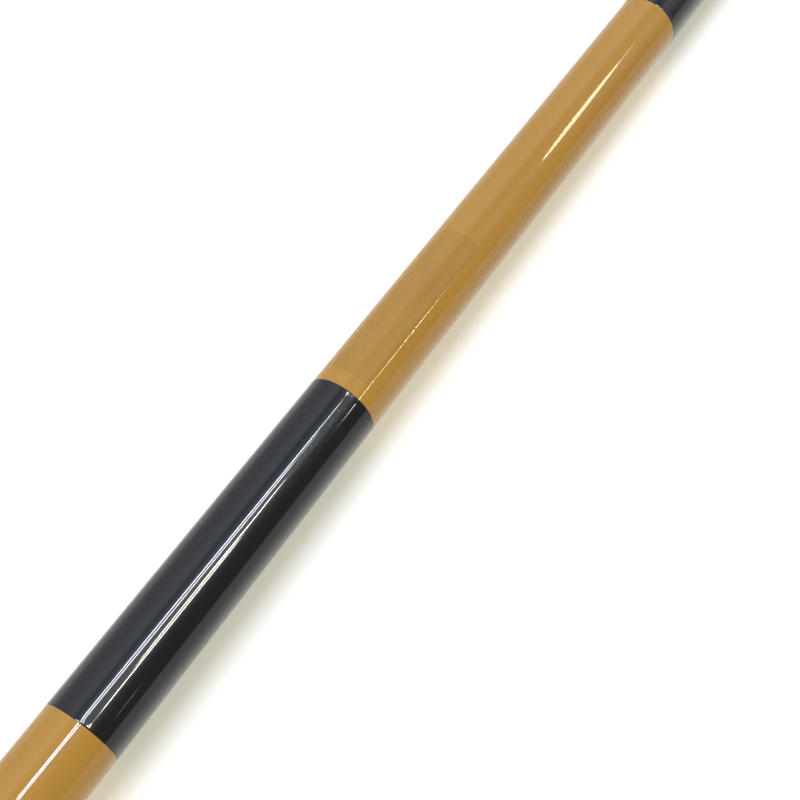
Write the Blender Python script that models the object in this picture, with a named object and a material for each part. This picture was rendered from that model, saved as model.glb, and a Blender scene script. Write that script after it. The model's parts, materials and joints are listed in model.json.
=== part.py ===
"""Telescopic herabuna rod: a wound-grip butt section with three sections nested inside it.

The rod lies closed along +X, butt cap at the low X end, resting on the fullest part
of its grip and on the winding round its mouth.
"""

import math

import bmesh
import bpy
from mathutils import Vector

for old in list(bpy.data.objects):
    bpy.data.objects.remove(old, do_unlink=True)

MM = 0.001

# Butt section: the tube that every other section stores in
CLOSED_LENGTH = 675.0 * MM
BUTT_MOUTH_DIAMETER = 8.4 * MM
BUTT_TAPER = 0.0070
BUTT_WALL = 0.75 * MM

# Upper sections: mouth sizes, walls and how much stays inside when drawn
THIRD_MOUTH_DIAMETER = 4.9 * MM
THIRD_WALL = 0.45 * MM
THIRD_OVERLAP = 80.0 * MM
SECOND_MOUTH_DIAMETER = 2.6 * MM
SECOND_WALL = 0.35 * MM
SECOND_OVERLAP = 75.0 * MM
TIP_DIAMETER = 0.8 * MM
TIP_OVERLAP = 70.0 * MM
MOUTH_STEP = 4.0 * MM

# Grip: a shaped core over the blank, wound with cotton cord
GRIP_LENGTH = 250.0 * MM
GRIP_BELLY_PLACE = 92.0 * MM
CORE_BUILD_REAR = 1.2 * MM
CORE_BUILD_BELLY = 3.1 * MM
CORE_BUILD_FRONT = 0.75 * MM
GRIP_CORD = 1.0 * MM
REAR_COLLAR_LENGTH = 7.0 * MM
REAR_COLLAR_STAND = 0.25 * MM
FRONT_COLLAR_LENGTH = 11.0 * MM
FRONT_COLLAR_STAND = 0.3 * MM
FRONT_COLLAR_TOE = 0.35 * MM
FRONT_COLLAR_DROP = 1.2 * MM
COLLAR_ROUND = 0.9 * MM
FRONT_BEAD_LENGTH = 3.6 * MM

# Black wound bands, let into the blank: the pattern shortens towards the mouth
GRIP_TO_BAND = 42.0 * MM
BAND_LENGTH = 56.0 * MM
BAND_SPACING = 87.5 * MM
BAND_SHRINK = 0.86
BAND_THICKNESS = 0.12 * MM
BAND_STAND = 0.02 * MM
BAND_EDGE_ROUND = 0.1 * MM
BAND_LEAST_ROOM = 30.0 * MM

# Windings that keep each mouth from splitting
BUTT_WINDING_LENGTH = 24.0 * MM
THIRD_WINDING_LENGTH = 14.0 * MM
SECOND_WINDING_LENGTH = 9.0 * MM
WINDING_THICKNESS = 0.15 * MM
WINDING_ROUND = 1.1 * MM
WINDING_SETBACK = 1.0 * MM

# Clear film on the first spacing after the first band
FILM_OFFSET = 2.5 * MM
FILM_LENGTH = 28.5 * MM
FILM_THICKNESS = 0.08 * MM
FILM_FACETS = 7

# Butt cap, its thread seat, seal and cushion
CAP_FLANGE_THICKNESS = 3.0 * MM
CAP_FLANGE_INSET = 0.6 * MM
CAP_EDGE_ROUND = 0.8 * MM
CAP_PLUG_LENGTH = 11.0 * MM
CAP_PLUG_CHAMFER = 0.4 * MM
COIN_SLOT_WIDTH = 1.8 * MM
COIN_SLOT_DEPTH = 1.5 * MM
INSERT_LENGTH = 12.0 * MM
INSERT_PASS = 0.5 * MM
SEAL_THICKNESS = 1.1 * MM
CUSHION_HEAD = 2.0 * MM
CUSHION_INSET = 0.3 * MM
CUSHION_ROUND = 0.4 * MM
CUSHION_STEM_DIAMETER = 4.0 * MM
CUSHION_STEM_LENGTH = 3.5 * MM

# Rotating tip eye and the sleeve that holds it
FERRULE_WALL = 0.2 * MM
FERRULE_GRIP = 6.0 * MM
FERRULE_CHAMBER = 2.0 * MM
FERRULE_LIP = 1.2 * MM
SWIVEL_STEM_DIAMETER = 0.4 * MM
SWIVEL_HEAD_DIAMETER = 0.68 * MM
SWIVEL_HEAD_LENGTH = 1.2 * MM
SWIVEL_NECK = 0.5 * MM
EYE_WIRE_DIAMETER = 0.4 * MM

# Clearances
GLUE_LINE = 0.03 * MM
SEAT_CLEARANCE = 0.02 * MM
THREAD_CLEARANCE = 0.1 * MM
SWIVEL_CLEARANCE = 0.06 * MM
REST_GAP = 0.3 * MM

# Faces round each turned piece
SIDES = 32
SMALL_SIDES = 16
LOOP_SIDES = 24
ROUND_STEPS = 3
RING_STEPS = 8
GRIP_STEPS = 7
SMOOTH_ANGLE = math.radians(40.0)
MERGE_DISTANCE = 0.0001 * MM


def srgb(hex_colour):
    """Turn a six-digit sRGB colour into Blender's linear values."""
    values = [int(hex_colour[place:place + 2], 16) / 255.0 for place in (0, 2, 4)]
    linear = [v / 12.92 if v <= 0.04045 else ((v + 0.055) / 1.055) ** 2.4 for v in values]
    return (*linear, 1.0)


def finish(name, hex_colour, roughness, metallic=0.0, alpha=1.0):
    """Make one Principled material."""
    made = bpy.data.materials.new(name)
    made.use_nodes = True
    shader = made.node_tree.nodes["Principled BSDF"]
    shader.inputs["Base Color"].default_value = srgb(hex_colour)
    shader.inputs["Roughness"].default_value = roughness
    shader.inputs["Metallic"].default_value = metallic
    shader.inputs["Alpha"].default_value = alpha
    made.diffuse_color = (*srgb(hex_colour)[:3], alpha)
    return made


OCHRE_LACQUER = finish("ochre_lacquer", "b48a4c", 0.15)
BLACK_LACQUER = finish("black_lacquer", "232426", 0.12)
CLEAR_FILM = finish("clear_film", "cdb98f", 0.1, alpha=0.4)
GRIP_FOAM = finish("grip_foam", "8a7a63", 0.9)
COTTON_CORD = finish("cotton_cord", "8f8b80", 0.85)
DARK_LACQUER = finish("dark_lacquer", "2a1c17", 0.2)
ANODISED = finish("anodised_aluminium", "3a3b3e", 0.35, metallic=1.0)
TURNED_ALUMINIUM = finish("turned_aluminium", "9a9b9c", 0.3, metallic=1.0)
STAINLESS = finish("stainless_steel", "a8a7a3", 0.22, metallic=1.0)
SOFT_RUBBER = finish("soft_rubber", "1b1b1b", 0.8)


def empty(name, parent=None, along=0.0):
    """Add an empty on the rod's axis, for one moving body."""
    made = bpy.data.objects.new(name, None)
    bpy.context.scene.collection.objects.link(made)
    made.parent = parent
    made.location = (along, 0.0, 0.0)
    return made


def place(name, mesh, material, parent):
    """Add an object with its origin on the rod's axis."""
    mesh.materials.append(material)
    mesh.shade_smooth()
    mesh.set_sharp_from_angle(angle=SMOOTH_ANGLE)
    made = bpy.data.objects.new(name, mesh)
    bpy.context.scene.collection.objects.link(made)
    made.parent = parent
    return made


def turned(name, outline, material, parent, sides=SIDES):
    """Turn an outline of (x, radius) points about X, one flat facing down.

    An outline that starts and ends on the axis makes a solid, and any other is
    closed on itself and makes a ring.
    """
    solid = outline[0][1] == 0.0 and outline[-1][1] == 0.0
    half_step = math.pi / sides
    across = math.sin(half_step)
    down = -math.cos(half_step)
    bm = bmesh.new()
    points = [bm.verts.new((x, radius * across, radius * down)) for x, radius in outline]
    pairs = list(zip(points, points[1:]))
    if not solid:
        pairs.append((points[-1], points[0]))
    lines = [bm.edges.new(pair) for pair in pairs]
    bmesh.ops.spin(bm, geom=points + lines, cent=(0.0, 0.0, 0.0), axis=(1.0, 0.0, 0.0),
                   angle=2.0 * math.pi, steps=sides, use_merge=True)
    bmesh.ops.remove_doubles(bm, verts=bm.verts, dist=MERGE_DISTANCE)
    bmesh.ops.recalc_face_normals(bm, faces=bm.faces)
    mesh = bpy.data.meshes.new(name)
    bm.to_mesh(mesh)
    bm.free()
    return place(name, mesh, material, parent)


def corner(x, radius, across, up, start, end, steps=ROUND_STEPS):
    """Points of a rounded corner: a quarter oval about (x, radius), angles in degrees."""
    made = []
    for step in range(steps + 1):
        angle = math.radians(start + (end - start) * step / steps)
        made.append((x + across * math.cos(angle), radius + up * math.sin(angle)))
    return made


def ease(share):
    """Rise from 0 to 1 with level ends."""
    return share * share * (3.0 - 2.0 * share)


# Outer radius of each section along its own length, from its rear end
def butt_radius(x):
    return (BUTT_MOUTH_DIAMETER + BUTT_TAPER * (CLOSED_LENGTH - x)) / 2.0


def section_radius(x, length, rear, seat, overlap, mouth):
    """A ground seat that matches the bore round it, then a slimmer taper to the mouth."""
    if x <= overlap:
        return rear + (seat - rear) * x / overlap
    return seat + (mouth - seat) * (x - overlap) / (length - overlap)


REAR_END = CAP_FLANGE_THICKNESS + REST_GAP
SEAL_ROOM = SEAL_THICKNESS + 2.0 * THREAD_CLEARANCE
INSERT_START = CAP_FLANGE_THICKNESS + SEAL_ROOM + REST_GAP
CUSHION_BASE = CAP_FLANGE_THICKNESS + CAP_PLUG_LENGTH + REST_GAP
STORED_START = CUSHION_BASE + CUSHION_HEAD + REST_GAP

THIRD_LENGTH = CLOSED_LENGTH - MOUTH_STEP - STORED_START
SECOND_LENGTH = THIRD_LENGTH - MOUTH_STEP
TIP_REACH = SECOND_LENGTH - MOUTH_STEP

THIRD_REAR = butt_radius(CLOSED_LENGTH - THIRD_OVERLAP) - BUTT_WALL - SEAT_CLEARANCE
THIRD_SEAT = butt_radius(CLOSED_LENGTH) - BUTT_WALL - SEAT_CLEARANCE


def third_radius(x):
    return section_radius(x, THIRD_LENGTH, THIRD_REAR, THIRD_SEAT, THIRD_OVERLAP,
                          THIRD_MOUTH_DIAMETER / 2.0)


SECOND_REAR = third_radius(THIRD_LENGTH - SECOND_OVERLAP) - THIRD_WALL - SEAT_CLEARANCE
SECOND_SEAT = third_radius(THIRD_LENGTH) - THIRD_WALL - SEAT_CLEARANCE


def second_radius(x):
    return section_radius(x, SECOND_LENGTH, SECOND_REAR, SECOND_SEAT, SECOND_OVERLAP,
                          SECOND_MOUTH_DIAMETER / 2.0)


TIP_REAR = second_radius(SECOND_LENGTH - TIP_OVERLAP) - SECOND_WALL - SEAT_CLEARANCE
TIP_SEAT = second_radius(SECOND_LENGTH) - SECOND_WALL - SEAT_CLEARANCE

EYE_OUTER = TIP_SEAT - SWIVEL_CLEARANCE
EYE_RING = EYE_OUTER - EYE_WIRE_DIAMETER / 2.0
FERRULE_LENGTH = FERRULE_GRIP + FERRULE_CHAMBER + FERRULE_LIP
TIP_LENGTH = TIP_REACH - FERRULE_CHAMBER - FERRULE_LIP - SWIVEL_NECK - 2.0 * EYE_OUTER


def tip_radius(x):
    return section_radius(x, TIP_LENGTH, TIP_REAR, TIP_SEAT, TIP_OVERLAP, TIP_DIAMETER / 2.0)


def core_radius(x):
    """Outside of the grip's core: full at the belly, slim at both ends."""
    core_start = REAR_END + REAR_COLLAR_LENGTH
    core_end = GRIP_LENGTH - FRONT_COLLAR_LENGTH
    if x <= GRIP_BELLY_PLACE:
        share = ease((x - core_start) / (GRIP_BELLY_PLACE - core_start))
        build = CORE_BUILD_REAR + (CORE_BUILD_BELLY - CORE_BUILD_REAR) * share
    else:
        share = ease((core_end - x) / (core_end - GRIP_BELLY_PLACE))
        build = CORE_BUILD_FRONT + (CORE_BUILD_BELLY - CORE_BUILD_FRONT) * share
    return butt_radius(x) + GLUE_LINE + build


def grip_radius(x):
    """Outside of the cord winding."""
    return core_radius(x) + GLUE_LINE + GRIP_CORD


def stations(start, end, steps):
    return [start + (end - start) * step / steps for step in range(steps + 1)]


def tube_outline(radius_at, wall, breaks):
    """Closed outline of a tapered tube of even wall through the named places."""
    outer = [(x, radius_at(x)) for x in breaks]
    inner = [(x, radius_at(x) - wall) for x in reversed(breaks)]
    return outer + inner


def sleeve_outline(inside_at, outside_at, places):
    """Closed outline of a ring between two curves."""
    outer = [(x, outside_at(x)) for x in places]
    inner = [(x, inside_at(x)) for x in reversed(places)]
    return outer + inner


def winding(name, seat_at, start, end, thickness, end_round, parent):
    """A lacquered thread winding with rounded ends, one glue line above its tapered seat."""
    run = min(end_round, (end - start) / 3.0)

    def inside(x):
        return seat_at(x) + GLUE_LINE

    outline = [(start, inside(start))]
    for x, lift in corner(start + run, 0.0, run, thickness, 180.0, 90.0)[1:]:
        outline.append((x, inside(x) + lift))
    for x, lift in corner(end - run, 0.0, run, thickness, 90.0, 0.0)[:-1]:
        outline.append((x, inside(x) + lift))
    outline.append((end, inside(end)))
    turned(name, outline, BLACK_LACQUER, parent)


def mouth_winding(name, radius_at, mouth, length, parent):
    """The winding that stands on a section just behind its mouth."""
    end = mouth - WINDING_SETBACK
    winding(name, radius_at, end - length, end, WINDING_THICKNESS, WINDING_ROUND, parent)


def groove_places():
    """Start and end of each band's groove, each shorter than the one before, while there is room."""
    room_end = CLOSED_LENGTH - WINDING_SETBACK - BUTT_WINDING_LENGTH
    length = BAND_LENGTH
    spacing = BAND_SPACING
    start = GRIP_LENGTH + GRIP_TO_BAND
    places = []
    while start + length + BAND_LEAST_ROOM < room_end:
        places.append((start, start + length))
        start += length + spacing
        length *= BAND_SHRINK
        spacing *= BAND_SHRINK
    return places


def groove_radius(x):
    """Floor of the grooves: deep enough to leave each band just proud of the blank."""
    return butt_radius(x) + BAND_STAND - BAND_THICKNESS - GLUE_LINE


def build_butt(parent):
    """The butt blank, the bands in its grooves and the winding round its mouth."""
    grooves = groove_places()
    outline = [(REAR_END, butt_radius(REAR_END))]
    for start, end in grooves:
        outline += [(start, butt_radius(start)), (start, groove_radius(start)),
                    (end, groove_radius(end)), (end, butt_radius(end))]
    outline.append((CLOSED_LENGTH, butt_radius(CLOSED_LENGTH)))
    outline += [(x, butt_radius(x) - BUTT_WALL) for x in (CLOSED_LENGTH, REAR_END)]
    turned("butt_blank", outline, OCHRE_LACQUER, parent)
    for number, (start, end) in enumerate(grooves, 1):
        winding(f"wound_band_{number}", groove_radius, start + GLUE_LINE, end - GLUE_LINE,
                BAND_THICKNESS, BAND_EDGE_ROUND, parent)
    mouth_winding("butt_mouth_winding", butt_radius, CLOSED_LENGTH, BUTT_WINDING_LENGTH, parent)


def build_film(parent):
    """A clear film over the top of the blank, its facets lying on the blank's own."""
    start = GRIP_LENGTH + GRIP_TO_BAND + BAND_LENGTH + FILM_OFFSET
    end = start + FILM_LENGTH
    facet = 2.0 * math.pi / SIDES
    first = math.pi / 2.0 - facet * FILM_FACETS / 2.0
    bm = bmesh.new()
    loops = []
    for x, lift in ((start, GLUE_LINE), (start, GLUE_LINE + FILM_THICKNESS),
                    (end, GLUE_LINE + FILM_THICKNESS), (end, GLUE_LINE)):
        radius = butt_radius(x) + lift
        row = []
        for step in range(FILM_FACETS + 1):
            angle = first + facet * step
            row.append(bm.verts.new((x, radius * math.cos(angle), radius * math.sin(angle))))
        loops.append(row)
    for row, after in zip(loops, loops[1:] + loops[:1]):
        for step in range(FILM_FACETS):
            bm.faces.new((row[step], row[step + 1], after[step + 1], after[step]))
    for step in (0, FILM_FACETS):
        bm.faces.new([row[step] for row in loops])
    bmesh.ops.recalc_face_normals(bm, faces=bm.faces)
    mesh = bpy.data.meshes.new("label_film")
    bm.to_mesh(mesh)
    bm.free()
    place("label_film", mesh, CLEAR_FILM, parent)


def build_grip(parent):
    """Core, cord winding and the collars that close both ends of it."""
    start = REAR_END + REAR_COLLAR_LENGTH
    end = GRIP_LENGTH - FRONT_COLLAR_LENGTH
    places = stations(start, GRIP_BELLY_PLACE, GRIP_STEPS)
    places += stations(GRIP_BELLY_PLACE, end, GRIP_STEPS)[1:]

    def blank_outside(x):
        return butt_radius(x) + GLUE_LINE

    def core_outside(x):
        return core_radius(x) + GLUE_LINE

    turned("grip_core", sleeve_outline(blank_outside, core_radius, places), GRIP_FOAM, parent)
    turned("grip_winding", sleeve_outline(core_outside, grip_radius, places), COTTON_CORD, parent)

    rear_top = grip_radius(start) + REAR_COLLAR_STAND
    rear_end = start - GLUE_LINE
    outline = [(REAR_END, blank_outside(REAR_END))]
    outline += corner(REAR_END + COLLAR_ROUND, rear_top - COLLAR_ROUND, COLLAR_ROUND,
                      COLLAR_ROUND, 180.0, 90.0)
    outline += corner(rear_end - COLLAR_ROUND, rear_top - COLLAR_ROUND, COLLAR_ROUND,
                      COLLAR_ROUND, 90.0, 0.0)
    outline.append((rear_end, blank_outside(rear_end)))
    turned("grip_rear_collar", outline, DARK_LACQUER, parent)

    front_start = end + GLUE_LINE
    front_top = grip_radius(end) + FRONT_COLLAR_STAND
    bead_end = front_start + FRONT_BEAD_LENGTH
    toe = blank_outside(GRIP_LENGTH) + FRONT_COLLAR_TOE
    outline = [(front_start, blank_outside(front_start))]
    outline += corner(front_start + COLLAR_ROUND, front_top - COLLAR_ROUND, COLLAR_ROUND,
                      COLLAR_ROUND, 180.0, 90.0)
    outline += corner(bead_end - COLLAR_ROUND, front_top - COLLAR_ROUND, COLLAR_ROUND,
                      COLLAR_ROUND, 90.0, 0.0)
    waist = front_top - FRONT_COLLAR_DROP
    for x in stations(bead_end, GRIP_LENGTH, ROUND_STEPS):
        share = ease((x - bead_end) / (GRIP_LENGTH - bead_end))
        outline.append((x, waist + (toe - waist) * share))
    outline.append((GRIP_LENGTH, blank_outside(GRIP_LENGTH)))
    turned("grip_front_collar", outline, DARK_LACQUER, parent)
    return places


THREAD_BORE = THIRD_REAR + INSERT_PASS
PLUG_RADIUS = THREAD_BORE - THREAD_CLEARANCE


def build_cap(butt, seal_body, cap_body):
    """Screwed butt cap with a coin slot, its seal, and the cushion that the sections sit on."""
    insert_end = INSERT_START + INSERT_LENGTH

    def bore(x):
        return butt_radius(x) - BUTT_WALL - GLUE_LINE

    outline = [(INSERT_START, THREAD_BORE), (INSERT_START, bore(INSERT_START)),
               (insert_end, bore(insert_end)), (insert_end, THREAD_BORE)]
    turned("butt_insert", outline, TURNED_ALUMINIUM, butt)

    seal_radius = SEAL_THICKNESS / 2.0
    seal_middle = CAP_FLANGE_THICKNESS + THREAD_CLEARANCE + seal_radius
    ring = corner(seal_middle, PLUG_RADIUS + THREAD_CLEARANCE + seal_radius, seal_radius,
                  seal_radius, 0.0, 360.0, steps=RING_STEPS)[:-1]
    turned("butt_cap_seal", ring, SOFT_RUBBER, seal_body)

    flange = grip_radius(REAR_END + REAR_COLLAR_LENGTH) + REAR_COLLAR_STAND - CAP_FLANGE_INSET
    plug_end = CAP_FLANGE_THICKNESS + CAP_PLUG_LENGTH
    stem = CUSHION_STEM_DIAMETER / 2.0
    hole = stem + GLUE_LINE
    hole_bottom = plug_end - CUSHION_STEM_LENGTH - GLUE_LINE
    outline = [(0.0, 0.0)]
    outline += corner(CAP_EDGE_ROUND, flange - CAP_EDGE_ROUND, CAP_EDGE_ROUND, CAP_EDGE_ROUND,
                      180.0, 90.0)
    outline += [(CAP_FLANGE_THICKNESS, flange), (CAP_FLANGE_THICKNESS, PLUG_RADIUS),
                (plug_end - CAP_PLUG_CHAMFER, PLUG_RADIUS),
                (plug_end, PLUG_RADIUS - CAP_PLUG_CHAMFER),
                (plug_end, hole), (hole_bottom, hole), (hole_bottom, 0.0)]
    cap = turned("butt_cap", outline, ANODISED, cap_body)

    slot_mesh = bpy.data.meshes.new("coin_slot_cutter")
    bm = bmesh.new()
    bmesh.ops.create_cube(bm, size=1.0)
    size = Vector((2.0 * COIN_SLOT_DEPTH, 4.0 * flange, COIN_SLOT_WIDTH))
    bmesh.ops.scale(bm, vec=size, verts=bm.verts)
    bm.to_mesh(slot_mesh)
    bm.free()
    cutter = bpy.data.objects.new("coin_slot_cutter", slot_mesh)
    bpy.context.scene.collection.objects.link(cutter)
    cutter.parent = cap_body
    cutter.hide_render = True
    cutter.display_type = "WIRE"
    cut = cap.modifiers.new("coin_slot", "BOOLEAN")
    cut.operation = "DIFFERENCE"
    cut.solver = "EXACT"
    cut.object = cutter

    head_start = CUSHION_BASE - REST_GAP + GLUE_LINE
    head_end = CUSHION_BASE + CUSHION_HEAD
    head = PLUG_RADIUS - CUSHION_INSET
    outline = [(plug_end - CUSHION_STEM_LENGTH, 0.0), (plug_end - CUSHION_STEM_LENGTH, stem),
               (head_start, stem), (head_start, head)]
    outline += corner(head_end - CUSHION_ROUND, head - CUSHION_ROUND, CUSHION_ROUND,
                      CUSHION_ROUND, 90.0, 0.0)
    outline.append((head_end, 0.0))
    turned("butt_cap_cushion", outline, SOFT_RUBBER, cap_body)


def build_sections(third_body, second_body, tip_body):
    """The nested sections, each origin at its own rear end."""
    outline = tube_outline(third_radius, THIRD_WALL, [0.0, THIRD_OVERLAP, THIRD_LENGTH])
    turned("third_section_blank", outline, OCHRE_LACQUER, third_body)
    mouth_winding("third_section_mouth_winding", third_radius, THIRD_LENGTH,
                  THIRD_WINDING_LENGTH, third_body)

    outline = tube_outline(second_radius, SECOND_WALL, [0.0, SECOND_OVERLAP, SECOND_LENGTH])
    turned("second_section_blank", outline, OCHRE_LACQUER, second_body)
    mouth_winding("second_section_mouth_winding", second_radius, SECOND_LENGTH,
                  SECOND_WINDING_LENGTH, second_body)

    outline = [(0.0, 0.0)]
    outline += [(x, tip_radius(x)) for x in (0.0, TIP_OVERLAP, TIP_LENGTH)]
    outline.append((TIP_LENGTH, 0.0))
    turned("tip_blank", outline, OCHRE_LACQUER, tip_body)


def build_tip_eye(tip_body, swivel_body):
    """A sleeve on the tip, with a headed eye that turns in it."""
    stem = SWIVEL_STEM_DIAMETER / 2.0
    head = SWIVEL_HEAD_DIAMETER / 2.0
    chamber_start = TIP_LENGTH
    lip_start = chamber_start + FERRULE_CHAMBER
    lip_end = lip_start + FERRULE_LIP
    rear = TIP_LENGTH - FERRULE_GRIP
    chamber = max(head + SWIVEL_CLEARANCE, tip_radius(TIP_LENGTH) + GLUE_LINE)
    outside = max(chamber, tip_radius(rear) + GLUE_LINE) + FERRULE_WALL
    lip_bore = stem + SWIVEL_CLEARANCE
    soft = FERRULE_WALL / 2.0
    outline = [(rear, tip_radius(rear) + GLUE_LINE), (rear, outside - soft), (rear + soft, outside),
               (lip_end - soft, outside), (lip_end, outside - soft), (lip_end, lip_bore),
               (lip_start, lip_bore), (lip_start, chamber), (chamber_start, chamber),
               (chamber_start, tip_radius(TIP_LENGTH) + GLUE_LINE)]
    turned("tip_ferrule", outline, STAINLESS, tip_body)

    head_end = lip_start - SWIVEL_CLEARANCE
    head_start = head_end - SWIVEL_HEAD_LENGTH
    eye_centre = lip_end + SWIVEL_NECK + EYE_OUTER
    stem_end = eye_centre - EYE_RING
    outline = [(head_start, 0.0), (head_start, head), (head_end, head), (head_end, stem),
               (stem_end, stem), (stem_end, 0.0)]
    swivel = turned("tip_eye", outline, STAINLESS, swivel_body, sides=SMALL_SIDES)

    ring = corner(0.0, EYE_RING, EYE_WIRE_DIAMETER / 2.0, EYE_WIRE_DIAMETER / 2.0, 0.0, 360.0,
                  steps=RING_STEPS)[:-1]
    loop = turned("tip_eye_loop", ring, STAINLESS, swivel_body, sides=LOOP_SIDES)
    loop.location = (eye_centre, 0.0, 0.0)
    loop.rotation_euler = (0.0, 0.0, math.pi / 2.0)
    loop.hide_render = True
    loop.display_type = "WIRE"
    join = swivel.modifiers.new("eye_loop", "BOOLEAN")
    join.operation = "UNION"
    join.solver = "EXACT"
    join.object = loop


def resting_tilt(places):
    """Angle at which the rod lies on its grip and on its mouth winding."""
    mouth_x = CLOSED_LENGTH - WINDING_SETBACK - WINDING_ROUND
    mouth = butt_radius(mouth_x) + GLUE_LINE + WINDING_THICKNESS
    steepest = max((grip_radius(x) - mouth) / (mouth_x - x) for x in places)
    return math.atan(steepest * math.cos(math.pi / SIDES))


def settle(axis, tilt):
    """Lay the rod on the floor, centred over the origin."""
    axis.rotation_euler = (0.0, tilt, 0.0)
    bpy.context.view_layer.update()
    corners = []
    for piece in bpy.data.objects:
        if piece.type == "MESH" and not piece.hide_render:
            corners += [piece.matrix_world @ vertex.co for vertex in piece.data.vertices]
    low = Vector([min(point[side] for point in corners) for side in range(3)])
    high = Vector([max(point[side] for point in corners) for side in range(3)])
    middle = (low + high) / 2.0
    axis.location = (-middle.x, -middle.y, -low.z)


rod_axis = empty("rod_axis")
seal_slide = empty("seal_slide", rod_axis)
cap_turn = empty("cap_turn", seal_slide)
third_slide = empty("third_slide", rod_axis, STORED_START)
second_slide = empty("second_slide", third_slide)
tip_slide = empty("tip_slide", second_slide)
eye_turn = empty("eye_turn", tip_slide)

build_butt(rod_axis)
build_film(rod_axis)
grip_places = build_grip(rod_axis)
build_cap(rod_axis, seal_slide, cap_turn)
build_sections(third_slide, second_slide, tip_slide)
build_tip_eye(tip_slide, eye_turn)
settle(rod_axis, resting_tilt(grip_places))
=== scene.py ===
"""Looks of a closed telescopic herabuna rod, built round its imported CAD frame.

Pieces are built in the rod's own frame: X runs up the rod from the face of the butt cap,
so every place and pattern reads as a distance along the rod.
"""

import json
import math
import random

import bpy
import numpy as np
from mathutils import Matrix, Vector


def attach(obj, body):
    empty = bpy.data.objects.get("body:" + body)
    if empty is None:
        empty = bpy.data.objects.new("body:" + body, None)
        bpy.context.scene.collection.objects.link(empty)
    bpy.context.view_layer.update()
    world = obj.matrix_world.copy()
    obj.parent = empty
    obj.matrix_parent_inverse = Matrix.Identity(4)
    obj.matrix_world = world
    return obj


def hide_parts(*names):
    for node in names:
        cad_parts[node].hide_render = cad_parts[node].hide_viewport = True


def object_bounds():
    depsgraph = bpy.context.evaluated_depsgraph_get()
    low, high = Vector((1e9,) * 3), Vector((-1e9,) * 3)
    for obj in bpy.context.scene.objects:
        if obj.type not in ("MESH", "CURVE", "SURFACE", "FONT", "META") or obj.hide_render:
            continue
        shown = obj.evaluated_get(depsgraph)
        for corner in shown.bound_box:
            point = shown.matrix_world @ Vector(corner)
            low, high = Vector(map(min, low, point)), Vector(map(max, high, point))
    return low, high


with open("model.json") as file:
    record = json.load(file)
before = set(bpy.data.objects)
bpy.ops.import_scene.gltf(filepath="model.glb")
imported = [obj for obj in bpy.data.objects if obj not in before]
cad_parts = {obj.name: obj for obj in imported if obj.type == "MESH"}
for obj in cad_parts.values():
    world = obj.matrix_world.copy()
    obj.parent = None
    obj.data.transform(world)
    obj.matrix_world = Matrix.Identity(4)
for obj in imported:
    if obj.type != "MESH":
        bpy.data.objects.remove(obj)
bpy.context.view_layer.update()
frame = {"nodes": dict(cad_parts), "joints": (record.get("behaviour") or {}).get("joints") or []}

MM = 0.001

# The rod's frame, from the joints that run along it
joints = {joint["name"]: joint for joint in frame["joints"]}
rod_along = Vector(joints["third_section_slide"]["axis"]).normalized()
rod_across = Vector((0.0, 1.0, 0.0))
rod_up = rod_along.cross(rod_across)
ROD = Matrix((rod_along, rod_across, rod_up)).transposed().to_4x4()
ROD.translation = Vector(joints["cap_turn"]["pos_m"])
TO_ROD = ROD.inverted()

# Camera at the photograph's angle
CAMERA_PLACE = Vector((-0.06811, -0.06966, 0.18096))
CAMERA_FORWARD = Vector((0.41344, 0.31279, -0.85512)).normalized()
CAMERA_RIGHT = Vector((0.55538, -0.83084, -0.03539)).normalized()
CAMERA_LENS = 65.385
CAMERA_CLIP = (5.0 * MM, 20.0)
SENSOR_WIDTH = 36.0

# Softened edges. A tube's end is broken at a share of its rim
ROUND_STEPS = 8
BUTT_RIM = 0.14 * MM
THIRD_RIM = 0.09 * MM
SECOND_RIM = 0.07 * MM
RIM_BREAK = 0.3
SHARP_ANGLE = math.radians(38.0)

# Facets round the rod
BUTT_SIDES = 192
MOUTH_SIDES = 128
COLLAR_SIDES = 96
THIRD_SIDES = 96
SECOND_SIDES = 64
TIP_SIDES = 48

# Windings and bands under lacquer
WINDING_ROUND = 1.1 * MM
WINDING_LIP = 0.03 * MM
SILK_THREAD = 0.25 * MM
BAND_LAP = 0.05 * MM
BAND_LIFT = 0.001 * MM
BAND_SLOPE = 0.12 * MM
BEAD_WIDTH = 0.9 * MM
BEAD_PEAK = 0.2 * MM
BEAD_HEIGHT = 0.02 * MM
BEAD_STEPS = 28
BEAD_SUPPORT = 3

# Clear film, its sides in degrees round the blank from straight up. A share of its thickness
# stands square, and the rest is rounded in steps of so many degrees
FILM_LEFT = 39.4
FILM_RIGHT = -37.0
FILM_GLUE = 0.03 * MM
FILM_THICKNESS = 0.08 * MM
FILM_SQUARE = 0.3
FILM_BEVEL = 0.14 * MM
FILM_CORNER = 0.9 * MM
FILM_MARGIN = 1.0 * MM
FILM_DARK_END = 0.25 * MM
FILM_ACROSS = 24
FILM_ALONG = 8
FILM_EDGE_TURNS = (0, 30, 60, 90)
FILM_CORNER_TURNS = range(20, 90, 10)

# Grip cord, with its braid's repeat along it in millimetres and its repeats round it
CORD = 1.0 * MM
CORD_PRESSED = 1.03
CORD_TUCK = 0.35 * MM
CORD_FACETS = 8
CORD_STEPS = 28
BRAID_REPEAT = 2.2
BRAID_ROUND = 2.0

# Grip collars
COLLAR_ROUND = 0.9 * MM
FRONT_BEAD = 3.6 * MM
FRONT_DROP = 1.2 * MM
TOE_STEPS = 16

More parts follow.
